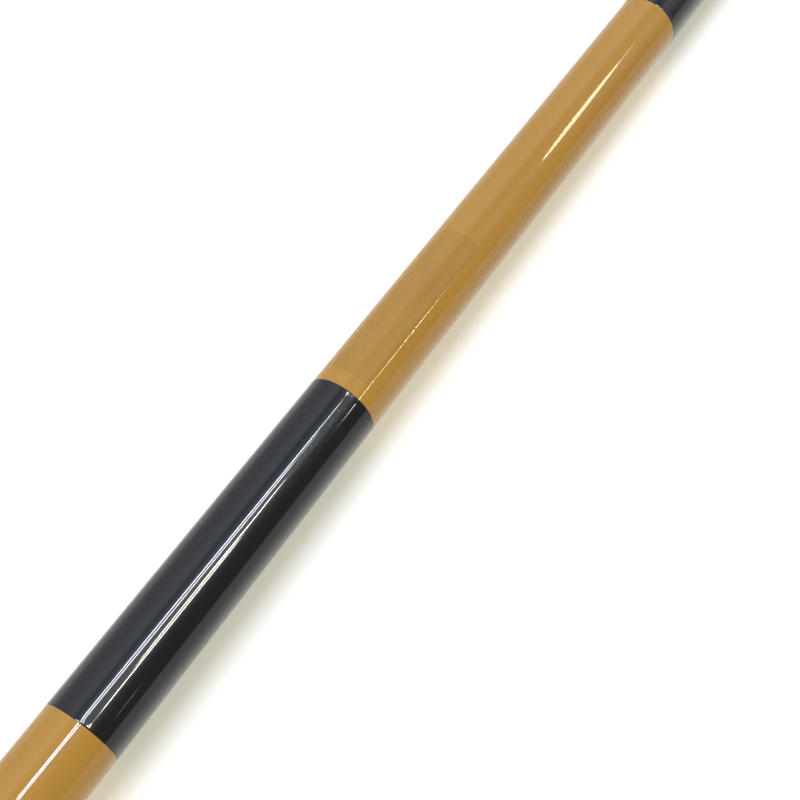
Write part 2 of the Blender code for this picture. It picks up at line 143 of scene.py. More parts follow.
# Butt cap. A flank of its thread is a share of the pitch, and a turn has so many rows
CAP_FLANGE = 3.0 * MM
CAP_ROUND = 0.8 * MM
CAP_BACK_ROUND = 0.25 * MM
CAP_BACK_STEPS = 3
KNURLS = 48
KNURL_DEPTH = 0.16 * MM
KNURL_START = 0.95 * MM
KNURL_END = 2.55 * MM
KNURL_RUN = 0.1 * MM
PLUG_CLEARANCE = 0.1 * MM
PLUG_END = 14.0 * MM
PLUG_CHAMFER = 0.4 * MM
THREAD_PITCH = 1.5 * MM
THREAD_DEPTH = 0.42 * MM
THREAD_FLANK = 0.38
THREAD_ROWS = 10
THREAD_START = 5.6 * MM
THREAD_END = 13.3 * MM
COIN_SLOT_WIDTH = 1.8 * MM
COIN_SLOT_DEPTH = 1.5 * MM
COIN_SLOT_CHAMFER = 0.3 * MM
CUTTER_MARGIN = 1.0 * MM
CUSHION_STEM = 4.06 * MM
CUSHION_HOLE = 3.53 * MM
SEAL_STEPS = 20

# Upper sections: bare ground seats at their rear, and rings painted in steps back from the
# mouth, as millimetres from it
HOLLOW_SEAT = 72.0 * MM
TIP_SEAT = 66.0 * MM
SECTION_RINGS = {
    "third_section": ((58.0, 92.0), (146.0, 174.0), (218.0, 241.0)),
    "second_section": ((44.0, 70.0), (112.0, 133.0), (168.0, 184.0)),
    "tip": ((6.0, 16.0), (42.0, 58.0), (92.0, 104.0)),
}

# Tip eye
EYE_SIDES = 64
EYE_WIRE = 0.4 * MM
EYE_WIRE_STEPS = 16
SWIVEL_SIDES = 32
SWIVEL_STEM = 0.4 * MM
SWIVEL_HEAD = 0.68 * MM
SWIVEL_HEAD_LENGTH = 1.2 * MM
SWIVEL_SOFT = 0.08 * MM

# Vertices of the solids that lie closer than this along the rod are one ring
RING_APART = 0.003 * MM


def srgb(hex_colour):
    """Turn a six-digit sRGB colour into Blender's linear values."""
    values = [int(hex_colour[place:place + 2], 16) / 255.0 for place in (0, 2, 4)]
    linear = [v / 12.92 if v <= 0.04045 else ((v + 0.055) / 1.055) ** 2.4 for v in values]
    return (*linear, 1.0)


def put(value, socket):
    """Put a plain value on a socket, or link an output to it, or a node's first output."""
    if isinstance(value, bpy.types.Node):
        value = value.outputs[0]
    if isinstance(value, bpy.types.NodeSocket):
        socket.id_data.links.new(value, socket)
    else:
        socket.default_value = value


def node(tree, kind, values=None, **settings):
    """Add a node with its settings, and with its inputs' values or links."""
    made = tree.nodes.new(kind)
    for name, setting in settings.items():
        setattr(made, name, setting)
    for name, value in (values or {}).items():
        put(value, made.inputs[name])
    return made


def along_rod(tree):
    """Coordinates in the rod's own frame, so that a pattern follows the rod."""
    here = node(tree, "ShaderNodeTexCoord").outputs["Object"]
    return node(tree, "ShaderNodeMapping",
                {0: here, "Location": TO_ROD.to_translation(), "Rotation": TO_ROD.to_euler()})


def fill(made, sockets):
    """Put values or links on a material's shader, by its sockets' names."""
    shader = made.node_tree.nodes["Principled BSDF"]
    for name, value in sockets.items():
        put(value, shader.inputs[name.replace("_", " ")])


def principled(name, hex_colour, roughness, metallic=0.0, **even):
    """Start a material with what is even all over it.

    Gives its node tree too, and its place along and round the rod, for patterns.
    """
    made = bpy.data.materials.new(name)
    made.use_nodes = True
    made.diffuse_color = srgb(hex_colour)
    fill(made, {"Base Color": srgb(hex_colour), "Roughness": roughness, "Metallic": metallic})
    fill(made, even)
    return made, made.node_tree, along_rod(made.node_tree)


def finished(made, relief=None, depth=0.0, strength=1.0, **varied):
    """Finish a material with what varies over it, and with a relief raised by its depth."""
    if relief is not None:
        varied["Normal"] = node(made.node_tree, "ShaderNodeBump",
                                {"Strength": strength, "Distance": depth, "Height": relief})
    fill(made, varied)
    return made


# Carbon and glass tube, dipped in ochre urethane and cleared: even colour, deep wet gloss
OCHRE = "b68a3b"
OCHRE_DEEP = "b38738"
OCHRE_PALE = "b98d3e"
BLACK = "17181a"
CARBON = "1f2022"
# Pale yellow of the film's cut edge: a painted highlight, lamp light on the edge
FILM_EDGE_HIGHLIGHT = "ecc583"
# Where the lower band's scuff lies and how far it reaches; its pale marks carry a painted glint
SCUFF_GLINT_PLACE = (340.5 * MM, -2.25 * MM, 4.85 * MM)
SCUFF_GLINT_SIZE = (9.0 * MM, 0.75 * MM, 0.75 * MM)


def lacquered_blank(name, mouth, black_rings=(), ground_until=0.0):
    """Ochre lacquer with any painted black rings, bare ground carbon below ground_until."""
    made, tree, place = principled(name, OCHRE, 0.06, IOR=1.5)
    x = node(tree, "ShaderNodeSeparateXYZ", {0: place}).outputs["X"]

    # The dip runs along the blank, so its tone drifts slowly in long streaks
    drawn = node(tree, "ShaderNodeMapping", {0: place, "Scale": (0.12, 1.0, 1.0)})
    drift = node(tree, "ShaderNodeTexNoise",
                 {"Vector": drawn, "Scale": 1.0 / (5.0 * MM), "Detail": 3.0})
    tone = node(tree, "ShaderNodeMapRange", {0: drift, 1: 0.35, 2: 0.65})
    colour = node(tree, "ShaderNodeMix", {0: tone, 6: srgb(OCHRE_DEEP), 7: srgb(OCHRE_PALE)},
                  data_type="RGBA").outputs[2]

    # Painted rings with clean masked edges
    for start, end in black_rings:
        ring = node(tree, "ShaderNodeMath", {0: x, 1: (start + end) / 2.0, 2: (end - start) / 2.0},
                    operation="COMPARE")
        colour = node(tree, "ShaderNodeMix", {0: ring, 6: colour, 7: srgb(BLACK)},
                      data_type="RGBA").outputs[2]

    # Handling rubs the lacquer back in specks near the mouth
    chips = node(tree, "ShaderNodeTexNoise",
                 {"Vector": place, "Scale": 1.0 / (0.45 * MM), "Detail": 2.0})
    near_mouth = node(tree, "ShaderNodeMapRange",
                      {0: x, 1: mouth - 1.4 * MM, 2: mouth, 3: 0.0, 4: 0.27})
    worn = node(tree, "ShaderNodeMath", {0: chips, 1: near_mouth}, operation="ADD")
    bare = node(tree, "ShaderNodeMath", {0: worn, 1: 0.88}, operation="GREATER_THAN")
    if ground_until:
        ground = node(tree, "ShaderNodeMath", {0: x, 1: ground_until}, operation="LESS_THAN")
        bare = node(tree, "ShaderNodeMath", {0: bare, 1: ground}, operation="MAXIMUM")
    colour = node(tree, "ShaderNodeMix", {0: bare, 6: colour, 7: srgb(CARBON)},
                  data_type="RGBA").outputs[2]

    # Fine wiping marks break the gloss, and bare carbon is satin
    wiped = node(tree, "ShaderNodeMapping", {0: place, "Scale": (1.0, 0.1, 0.1)})
    marks = node(tree, "ShaderNodeTexNoise",
                 {"Vector": wiped, "Scale": 1.0 / (0.4 * MM), "Detail": 4.0})
    gloss = node(tree, "ShaderNodeMapRange", {0: marks, 1: 0.4, 2: 0.8, 3: 0.025, 4: 0.055})
    finish = node(tree, "ShaderNodeMix", {0: bare, 2: gloss, 3: 0.5})

    # Orange peel of a sprayed clear coat
    peel = node(tree, "ShaderNodeTexNoise",
                {"Vector": place, "Scale": 1.0 / (1.3 * MM), "Detail": 1.0})
    return finished(made, Base_Color=colour, Roughness=finish, relief=peel, depth=0.0015 * MM)


def lacquered_silk():
    """Silk thread bound on and filled with black lacquer, rubbed flat and polished.

    The thread shows only as the faintest rings, and dust has settled in soft patches.
    """
    made, tree, place = principled("black_lacquer_over_silk", BLACK, 0.05, IOR=1.5,
                                   Coat_Weight=0.22, Coat_Roughness=0.28, Coat_IOR=1.5)
    x = node(tree, "ShaderNodeSeparateXYZ", {0: place}).outputs["X"]

    patches = node(tree, "ShaderNodeTexNoise",
                   {"Vector": place, "Scale": 1.0 / (7.0 * MM), "Detail": 2.0})
    patch = node(tree, "ShaderNodeMapRange", {0: patches, 1: 0.52, 2: 0.66})
    grains = node(tree, "ShaderNodeTexNoise",
                  {"Vector": place, "Scale": 1.0 / (0.3 * MM), "Detail": 2.0})
    grain = node(tree, "ShaderNodeMapRange", {0: grains, 1: 0.62, 2: 0.72})
    dust = node(tree, "ShaderNodeMath", {0: patch, 1: grain}, operation="MULTIPLY")

    # Scuffs at the lower band's upper end, on its right: their pale grey is partly a painted glint
    from_scuff_glint = node(tree, "ShaderNodeVectorMath", {0: place, 1: SCUFF_GLINT_PLACE},
                      operation="SUBTRACT")
    reach = node(tree, "ShaderNodeVectorMath", {0: from_scuff_glint, 1: SCUFF_GLINT_SIZE}, operation="DIVIDE")
    reach = node(tree, "ShaderNodeVectorMath", {0: reach}, operation="LENGTH")
    near_scuff_glint = node(tree, "ShaderNodeMapRange", {0: reach.outputs["Value"], 1: 1.0, 2: 0.3})
    lengthwise = node(tree, "ShaderNodeMapping", {0: place, "Scale": (0.4, 1.0, 1.0)})
    hairs = node(tree, "ShaderNodeTexNoise", {"Vector": lengthwise, "Scale": 1.0 / (0.24 * MM),
                                              "Detail": 5.0, "Roughness": 0.7})
    hair = node(tree, "ShaderNodeMapRange", {0: hairs, 1: 0.57, 2: 0.63})
    scuff_and_glint = node(tree, "ShaderNodeMath", {0: near_scuff_glint, 1: hair}, operation="MULTIPLY")
    # Real dust, and the scuff partly a painted glint, both turn the black a pale bluish grey
    marks = node(tree, "ShaderNodeMath", {0: dust, 1: 0.28, 2: scuff_and_glint},
                 operation="MULTIPLY_ADD", use_clamp=True)
    colour = node(tree, "ShaderNodeMix", {0: marks, 6: srgb(BLACK), 7: srgb("565b67")},
                  data_type="RGBA")
    gloss = node(tree, "ShaderNodeMapRange", {0: marks, 3: 0.04, 4: 0.1})

    # Thread filled almost level, over the slow waves of the rubbed lacquer
    turn = node(tree, "ShaderNodeMath", {0: x, 1: 2.0 * math.pi / SILK_THREAD},
                operation="MULTIPLY")
    thread = node(tree, "ShaderNodeMath", {0: turn}, operation="SINE")
    waves = node(tree, "ShaderNodeTexNoise",
                 {"Vector": place, "Scale": 1.0 / (2.2 * MM), "Detail": 1.0})
    rise = node(tree, "ShaderNodeMath", {0: thread, 1: 0.02, 2: waves}, operation="MULTIPLY_ADD")
    return finished(made, Base_Color=colour.outputs[2], Roughness=gloss, relief=rise,
                    depth=0.0015 * MM)


def bare_carbon():
    """Carbon tube cut and reamed: satin, with fine rings from the reamer."""
    made, tree, place = principled("cut_carbon", CARBON, 0.45, IOR=1.5)
    ringed = node(tree, "ShaderNodeMapping", {0: place, "Scale": (1.0, 0.06, 0.06)})
    rings_cut = node(tree, "ShaderNodeTexNoise",
                     {"Vector": ringed, "Scale": 1.0 / (0.2 * MM), "Detail": 3.0})
    colour = node(tree, "ShaderNodeMix", {0: rings_cut, 6: srgb("17181a"), 7: srgb("2b2c2f")},
                  data_type="RGBA")
    return finished(made, Base_Color=colour.outputs[2], relief=rings_cut, depth=0.01 * MM)


def clear_film():
    """Clear polyester film on its own adhesive: hardly a veil over the lacquer."""
    made, tree, place = principled("clear_polyester_film", "857a52", 0.04, IOR=1.57)
    haze = node(tree, "ShaderNodeTexNoise",
                {"Vector": place, "Scale": 1.0 / (3.0 * MM), "Detail": 3.0})
    veil = node(tree, "ShaderNodeMapRange", {0: haze, 3: 0.015, 4: 0.06})
    return finished(made, Alpha=veil)


def film_edge_highlight(start, end):
    """Cut edge of the film: its sides carry a painted highlight in pale yellow, and its lower end
    is a darker brown.
    """
    made, tree, place = principled("clear_polyester_edge_highlight", FILM_EDGE_HIGHLIGHT, 0.12, IOR=1.57)
    x = node(tree, "ShaderNodeSeparateXYZ", {0: place}).outputs["X"]
    # The lower end of the edge is a darker brown, and fainter
    lower = node(tree, "ShaderNodeMath", {0: x, 1: start + FILM_DARK_END}, operation="LESS_THAN")
    colour = node(tree, "ShaderNodeMix", {0: lower, 6: srgb(FILM_EDGE_HIGHLIGHT), 7: srgb("7d5c30")},
                  data_type="RGBA")
    # Painted highlight: the sides' pale yellow fades up the film and breaks in patches where the
    # edge lies sealed
    sealed = node(tree, "ShaderNodeTexNoise",
                  {"Vector": place, "Scale": 1.0 / (2.4 * MM), "Detail": 2.0})
    fade = node(tree, "ShaderNodeMapRange", {0: x, 1: start, 2: end, 3: 0.36, 4: 0.2})
    caught = node(tree, "ShaderNodeMapRange", {0: sealed, 1: 0.35, 2: 0.65, 3: 0.4, 4: 1.0})
    seen = node(tree, "ShaderNodeMath", {0: fade, 1: caught}, operation="MULTIPLY")
    faint = node(tree, "ShaderNodeMath", {0: lower, 1: -0.55, 2: 1.0}, operation="MULTIPLY_ADD")
    seen = node(tree, "ShaderNodeMath", {0: seen, 1: faint}, operation="MULTIPLY")
    return finished(made, Base_Color=colour.outputs[2], Alpha=seen)


def braided_cotton():
    """Braided cotton cord, charcoal and natural strands, dry and fibrous.

    The cord's UV map gives millimetres along the cord and the share of a turn round it.
    """
    made, tree, place = principled("braided_cotton_cord", "8a8474", 0.86, IOR=1.46,
                                   Sheen_Weight=0.25, Sheen_Roughness=0.5)
    uv = node(tree, "ShaderNodeUVMap", uv_map="cord")

    # Strands cross every half repeat, drawn a little coarser than cotton braid this fine
    strands = []
    for slant in (BRAID_ROUND, -BRAID_ROUND):
        wave = (2.0 * math.pi / BRAID_REPEAT, 2.0 * math.pi * slant, 0.0)
        phase = node(tree, "ShaderNodeVectorMath", {0: uv, 1: wave}, operation="DOT_PRODUCT")
        strands.append(node(tree, "ShaderNodeMath", {0: phase.outputs["Value"]}, operation="SINE"))
    over = node(tree, "ShaderNodeMath", {0: strands[0], 1: strands[1]}, operation="MAXIMUM")
    lead = node(tree, "ShaderNodeMath", {0: strands[0], 1: strands[1]}, operation="SUBTRACT")
    pick = node(tree, "ShaderNodeMapRange", {0: lead, 1: -0.25, 2: 0.25})
    yarn = node(tree, "ShaderNodeMix", {0: pick, 6: srgb("38373a"), 7: srgb("b9ab8b")},
                data_type="RGBA")

    # Fibres, and the darker polish that a hand leaves on the belly
    fibre = node(tree, "ShaderNodeTexNoise",
                 {"Vector": place, "Scale": 1.0 / (0.16 * MM), "Detail": 4.0})
    handled = node(tree, "ShaderNodeTexNoise",
                   {"Vector": place, "Scale": 1.0 / (22.0 * MM), "Detail": 3.0})
    shade = node(tree, "ShaderNodeMapRange", {0: fibre, 1: 0.3, 2: 0.7, 3: 0.72, 4: 1.12})
    soil = node(tree, "ShaderNodeMapRange", {0: handled, 1: 0.4, 2: 0.62, 3: 1.0, 4: 0.8})
    level = node(tree, "ShaderNodeMath", {0: shade, 1: soil}, operation="MULTIPLY")
    tinted = node(tree, "ShaderNodeVectorMath", {0: yarn.outputs[2], "Scale": level},
                  operation="SCALE")

    fluff = node(tree, "ShaderNodeMath", {0: fibre, 1: 0.45, 2: over}, operation="MULTIPLY_ADD")
    return finished(made, Base_Color=tinted, relief=fluff, depth=0.08 * MM, strength=0.9)


def collar_lacquer():
    """Dark brown lacquer brushed over a turned collar: deep gloss with a warm depth."""
    made, tree, place = principled("brown_brushed_lacquer", "2c1a14", 0.08, IOR=1.5)
    round_it = node(tree, "ShaderNodeMapping", {0: place, "Scale": (1.0, 0.12, 0.12)})
    strokes = node(tree, "ShaderNodeTexNoise",
                   {"Vector": round_it, "Scale": 1.0 / (0.7 * MM), "Detail": 3.0})
    colour = node(tree, "ShaderNodeMix", {0: strokes, 6: srgb("22130f"), 7: srgb("3a221a")},
                  data_type="RGBA")
    gloss = node(tree, "ShaderNodeMapRange", {0: strokes, 1: 0.3, 2: 0.8, 3: 0.06, 4: 0.16})
    return finished(made, Base_Color=colour.outputs[2], Roughness=gloss, relief=strokes,
                    depth=0.006 * MM)


def turned_metal(name, hex_colour, roughness, edge_colour, tool_mark):
    """Lathe-turned metal: rings of tool marks about the rod's axis and rubbed high spots."""
    made, tree, place = principled(name, hex_colour, roughness, metallic=1.0)
    parts = node(tree, "ShaderNodeSeparateXYZ", {0: place}).outputs
    flat = node(tree, "ShaderNodeCombineXYZ", {1: parts["Y"], 2: parts["Z"]})
    out = node(tree, "ShaderNodeVectorMath", {0: flat}, operation="LENGTH")
    step = node(tree, "ShaderNodeMath", {0: out.outputs["Value"], 1: parts["X"]}, operation="ADD")
    line = node(tree, "ShaderNodeCombineXYZ", {0: step})
    marks = node(tree, "ShaderNodeTexNoise",
                 {"Vector": line, "Scale": 1.0 / tool_mark, "Detail": 2.0})
    rubs = node(tree, "ShaderNodeTexNoise",
                {"Vector": place, "Scale": 1.0 / (1.6 * MM), "Detail": 5.0})
    rubbed = node(tree, "ShaderNodeMapRange", {0: rubs, 1: 0.58, 2: 0.78})
    colour = node(tree, "ShaderNodeMix", {0: rubbed, 6: srgb(hex_colour), 7: srgb(edge_colour)},
                  data_type="RGBA")
    satin = node(tree, "ShaderNodeMapRange",
                 {0: marks, 1: 0.3, 2: 0.7, 3: roughness * 0.75, 4: roughness * 1.3})
    return finished(made, Base_Color=colour.outputs[2], Roughness=satin, relief=marks,
                    depth=0.012 * MM)


def moulded_rubber():
    """Moulded black rubber: matt, with mould grain and a greyish bloom."""
    made, tree, place = principled("moulded_rubber", "17171a", 0.75, IOR=1.52)
    bloom = node(tree, "ShaderNodeTexNoise",
                 {"Vector": place, "Scale": 1.0 / (2.5 * MM), "Detail": 4.0})
    colour = node(tree, "ShaderNodeMix", {0: bloom, 6: srgb("121214"), 7: srgb("2a2a2c")},
                  data_type="RGBA")
    grain = node(tree, "ShaderNodeTexNoise",
                 {"Vector": place, "Scale": 1.0 / (0.12 * MM), "Detail": 2.0})
    return finished(made, Base_Color=colour.outputs[2], relief=grain, depth=0.02 * MM,
                    strength=0.6)


def shaped_foam():
    """Hard urethane foam sanded to shape: matt, with cut cells."""
    made, tree, place = principled("sanded_urethane_foam", "8b7960", 0.9, IOR=1.45)
    cells = node(tree, "ShaderNodeTexVoronoi", {"Vector": place, "Scale": 1.0 / (0.35 * MM)})
    colour = node(tree, "ShaderNodeMix", {0: cells.outputs["Distance"], 6: srgb("a08d72"),
                                          7: srgb("6d5d48")}, data_type="RGBA")
    return finished(made, Base_Color=colour.outputs[2], relief=cells.outputs["Distance"],
                    depth=0.08 * MM, strength=0.7)


def rings(cad_node):
    """Where a turned CAD node's rings lie along the rod, with its outer and inner radius."""
    points = [TO_ROD @ vertex.co for vertex in frame["nodes"][cad_node].data.vertices]
    found = []
    for point in sorted(points, key=lambda point: point.x):
        out = math.hypot(point.y, point.z)
        if not found or point.x - found[-1][0] > RING_APART:
            found.append([point.x, out, out])
        found[-1][1] = max(found[-1][1], out)
        found[-1][2] = min(found[-1][2], out)
    return [list(column) for column in zip(*found)]


def corner(x, radius, long, high, start, end, coat=0, steps=ROUND_STEPS):
    """Points of a rounded corner about (x, radius), from start to end degrees."""
    made = []
    for step in range(steps + 1):
        angle = math.radians(start + (end - start) * step / steps)
        made.append((x + long * math.cos(angle), radius + high * math.sin(angle), coat))
    return made


def ease(share):
    """A smooth step from 0 to 1."""
    return share * share * (3.0 - 2.0 * share)


def turned(outline, sides, shape=None):
    """Mesh of an outline of (x, radius, coat) points turned about the rod's axis.

    A coat is the material slot of the faces that start at its point. An outline that
    starts and ends on the axis makes a solid, and any other closes on itself.
    shape(x, radius, angle) may alter a radius.
    """
    solid = outline[0][1] == 0.0 and outline[-1][1] == 0.0
    points = []
    rows = []
    for x, radius, _ in outline:
        if radius == 0.0:
            rows.append([len(points)] * sides)
            points.append((x, 0.0, 0.0))
            continue
        rows.append(list(range(len(points), len(points) + sides)))
        for side in range(sides):
            angle = 2.0 * math.pi * side / sides
            reach = shape(x, radius, angle) if shape else radius
            points.append((x, reach * math.sin(angle), reach * math.cos(angle)))
    pairs = list(zip(rows, rows[1:], outline))
    if not solid:
        pairs.append((rows[-1], rows[0], outline[-1]))
    faces = []
    coats = []
    for row, after, (_, _, coat) in pairs:
        for side in range(sides):
            turn = (side + 1) % sides
            face = [row[side], after[side], after[turn], row[turn]]
            faces.append(list(dict.fromkeys(face)))
            coats.append(coat)
    mesh = bpy.data.meshes.new("turned")
    mesh.from_pydata(points, [], faces)
    mesh.polygons.foreach_set("material_index", coats)
    return mesh


def outward(mesh):
    """Turn a closed mesh's faces outward, by the sign of its volume."""
    mesh.calc_loop_triangles()
    volume = 0.0
    for triangle in mesh.loop_triangles:
        a, b, c = (mesh.vertices[place].co for place in triangle.vertices)
        volume += a.dot(b.cross(c))
    if volume < 0.0:
        mesh.flip_normals()


def dress(name, mesh, body, slot, materials, *nodes):
    """Put a piece on its body, in place of the CAD nodes that it stands for."""
    outward(mesh)
    mesh.name = name
    mesh.transform(ROD)
    for material in materials:
        mesh.materials.append(material)
    mesh.shade_smooth()
    mesh.set_sharp_from_angle(angle=SHARP_ANGLE)
    made = bpy.data.objects.new(name, mesh)
    bpy.context.scene.collection.objects.link(made)
    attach(made, body)
    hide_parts(*nodes)


def cut(mesh, tool, operation):
    """Boolean a mesh with a tool mesh and return the result."""
    work = bpy.data.objects.new("work", mesh)
    other = bpy.data.objects.new("tool", tool)
    for made in (work, other):
        bpy.context.scene.collection.objects.link(made)
    change = work.modifiers.new("cut", "BOOLEAN")
    change.operation = operation
    change.solver = "EXACT"
    change.object = other
    graph = bpy.context.evaluated_depsgraph_get()
    result = bpy.data.meshes.new_from_object(work.evaluated_get(graph))
    for made in (work, other):
        bpy.data.objects.remove(made)
    return result


def lacquered_tube(cad_node, rim, sides, grooved=False):
    """A tube with a lacquered outside, softened rims and a bare bore.

    The places between its ends are changes of taper, or the walls of its grooves.
    """
    places, outer, inner = rings(cad_node)
    start, end = places[0], places[-1]
    middle = list(zip(places[1:-1], outer[1:-1], inner[1:-1]))
    outline = [(start, outer[0] - rim, 1), (start + rim, outer[0], 0)]
    if grooved:
        for (x, top, floor), (far, far_top, far_floor) in zip(middle[0::2], middle[1::2]):
            outline += [(x, top, 0), (x, floor, 0), (far, far_floor, 0), (far, far_top, 0)]
    else:
        outline += [(x, top, 0) for x, top, _ in middle]
    broken = RIM_BREAK * rim
    outline += [(end - rim, outer[-1], 1), (end - broken, outer[-1] - broken, 1),
                (end, outer[-1] - rim, 1), (end, inner[-1] + rim, 1), (end - rim, inner[-1], 1)]
    if not grooved:
        outline += [(x, bore, 1) for x, _, bore in reversed(middle)]
    outline += [(start + rim, inner[0], 1), (start, inner[0] + rim, 1)]
    return turned(outline, sides)


def mouth_binding(cad_node, sides):
    """A bound ring under lacquer that ends in a soft slope down to the blank."""
    places, outer, inner = rings(cad_node)
    start, end = places[0], places[-1]
    slope = (inner[-1] - inner[0]) / (end - start)

    def seat(x):
        return inner[0] + slope * (x - start)

    thickness = max(r - seat(x) for x, r in zip(places, outer))
    run = min(WINDING_ROUND, (end - start) / 3.0)
    outline = [(start, seat(start), 0)]
    ends = corner(start + run, WINDING_LIP, run, thickness - WINDING_LIP, 180.0, 90.0)
    ends += corner(end - run, WINDING_LIP, run, thickness - WINDING_LIP, 90.0, 0.0)
    outline += [(x, seat(x) + lift, 0) for x, lift, _ in ends]
    outline.append((end, seat(end), 0))
    return turned(outline, sides)


blank_places, blank_outer, _ = rings("butt_blank")


def blank_radius(x):
    """Outside radius of the butt's blank at x along the rod."""
    return float(np.interp(x, blank_places, blank_outer))


def inlaid_band(cad_node):
    """A black band let into the blank: level with it, with a low bead of lacquer at each end."""
    places, outer, inner = rings(cad_node)
    start, end = places[0] - BAND_LAP, places[-1] + BAND_LAP
    stand = max(r - blank_radius(x) for x, r in zip(places, outer))

    def lift(near):
        if near > BEAD_PEAK:
            bead = (max(0.0, BEAD_WIDTH - near) / (BEAD_WIDTH - BEAD_PEAK)) ** 2
        else:
            bead = ease(near / BEAD_PEAK)
        slope = math.sin(0.5 * math.pi * min(1.0, near / BAND_SLOPE))
        return BAND_LIFT + stand * slope + BEAD_HEIGHT * bead

    steps = [BEAD_WIDTH * step / BEAD_STEPS for step in range(BEAD_STEPS + BEAD_SUPPORT)]
    top = [start + near for near in steps] + [end - near for near in reversed(steps)]
    outline = [(x, blank_radius(x) + lift(min(x - start, end - x)), 0) for x in top]
    outline += [(x, blank_radius(x), 0) for x in (end, places[-1])]
    outline += [(places[-1], inner[-1], 0), (places[0], inner[0], 0)]
    outline += [(x, blank_radius(x), 0) for x in (places[0], start)]
    return turned(outline, BUTT_SIDES)


ochre = lacquered_blank("ochre_urethane_lacquer", blank_places[-1])
black = lacquered_silk()
carbon = bare_carbon()
dark_collar = collar_lacquer()
cap_metal = turned_metal("anodised_aluminium", "303134", 0.34, "484a4e", 0.12 * MM)
bright_aluminium = turned_metal("turned_aluminium", "a3a4a5", 0.28, "b5b6b7", 0.12 * MM)
steel = turned_metal("stainless_steel", "aeaca7", 0.2, "c2c0bb", 0.05 * MM)
rubber = moulded_rubber()

# Butt section: lacquered tube, black bands, mouth winding
dress("butt_tube", lacquered_tube("butt_blank", BUTT_RIM, BUTT_SIDES, grooved=True), "butt",
      "ochre_lacquer", [ochre, carbon], "butt_blank")
for number in (1, 2, 3):
    dress(f"black_band_{number}", inlaid_band(f"wound_band_{number}"), "butt",
          "black_lacquer", [black], f"wound_band_{number}")
dress("butt_mouth_binding", mouth_binding("butt_mouth_winding", MOUTH_SIDES), "butt",
      "black_lacquer", [black], "butt_mouth_winding")


def build_film(start, end):
    """Clear film over the top of the blank: rounded corners and a soft cut edge."""
    middle = blank_radius((start + end) / 2.0)
    left, right = (math.radians(angle) * middle for angle in (FILM_LEFT, FILM_RIGHT))
    soft = [FILM_BEVEL * (1.0 - math.cos(math.radians(a))) for a in FILM_EDGE_TURNS]
    bend = [FILM_CORNER * (1.0 - math.cos(math.radians(a))) for a in FILM_CORNER_TURNS]
    inside = np.linspace(right + FILM_CORNER, left - FILM_CORNER, FILM_ACROSS)
    arcs = sorted({right + s for s in soft + bend} | {left - s for s in soft + bend}
                  | set(inside.tolist()))
    inside = np.linspace(start + FILM_MARGIN, end - FILM_MARGIN, FILM_ALONG)
    long = sorted({start + s for s in soft} | {end - s for s in soft} | set(inside.tolist()))
    top = []
    bottom = []
    for arc in arcs:
        edge = min(arc - right, left - arc)
        corner_in = 0.0
        if edge < FILM_CORNER:
            corner_in = FILM_CORNER - math.sqrt(max(0.0, FILM_CORNER ** 2
                                                    - (FILM_CORNER - edge) ** 2))
        for x in long:
            share = (x - start) / (end - start)
            place = start + corner_in + share * (end - start - 2.0 * corner_in)
            near = min(edge, place - start - corner_in, end - corner_in - place)
            rise = math.sin(math.acos(min(1.0, max(0.0, 1.0 - near / FILM_BEVEL))))
            rise = FILM_SQUARE + (1.0 - FILM_SQUARE) * rise
            angle = arc / middle
            for row, lift in ((top, rise), (bottom, 0.0)):
                reach = blank_radius(place) + FILM_GLUE + lift * FILM_THICKNESS
                row.append((place, reach * math.sin(angle), reach * math.cos(angle)))
    wide = len(long)
    deep = len(arcs)
    shift = len(top)
    rim = len(soft) - 1
    faces = []
    coats = []
    for i in range(deep - 1):
        for j in range(wide - 1):
            face = (i * wide + j, i * wide + j + 1, (i + 1) * wide + j + 1, (i + 1) * wide + j)
            faces += [face, tuple(place + shift for place in reversed(face))]
            at_edge = min(j, wide - 2 - j) < rim or min(i, deep - 2 - i) < rim
            coats += [int(at_edge), 0]
    border = list(range(wide))
    border += [i * wide + wide - 1 for i in range(1, deep)]
    border += [(deep - 1) * wide + j for j in range(wide - 2, -1, -1)]
    border += [i * wide for i in range(deep - 2, 0, -1)]
    for a, b in zip(border, border[1:] + border[:1]):
        faces.append((b, a, a + shift, b + shift))
        coats.append(1)
    mesh = bpy.data.meshes.new("film")
    mesh.from_pydata(top + bottom, [], faces)
    mesh.polygons.foreach_set("material_index", coats)
    return mesh


film_places = rings("label_film")[0]
film_ends = film_places[0], film_places[-1]
dress("clear_film", build_film(*film_ends), "butt", "clear_film",
      [clear_film(), film_edge_highlight(*film_ends)], "label_film")


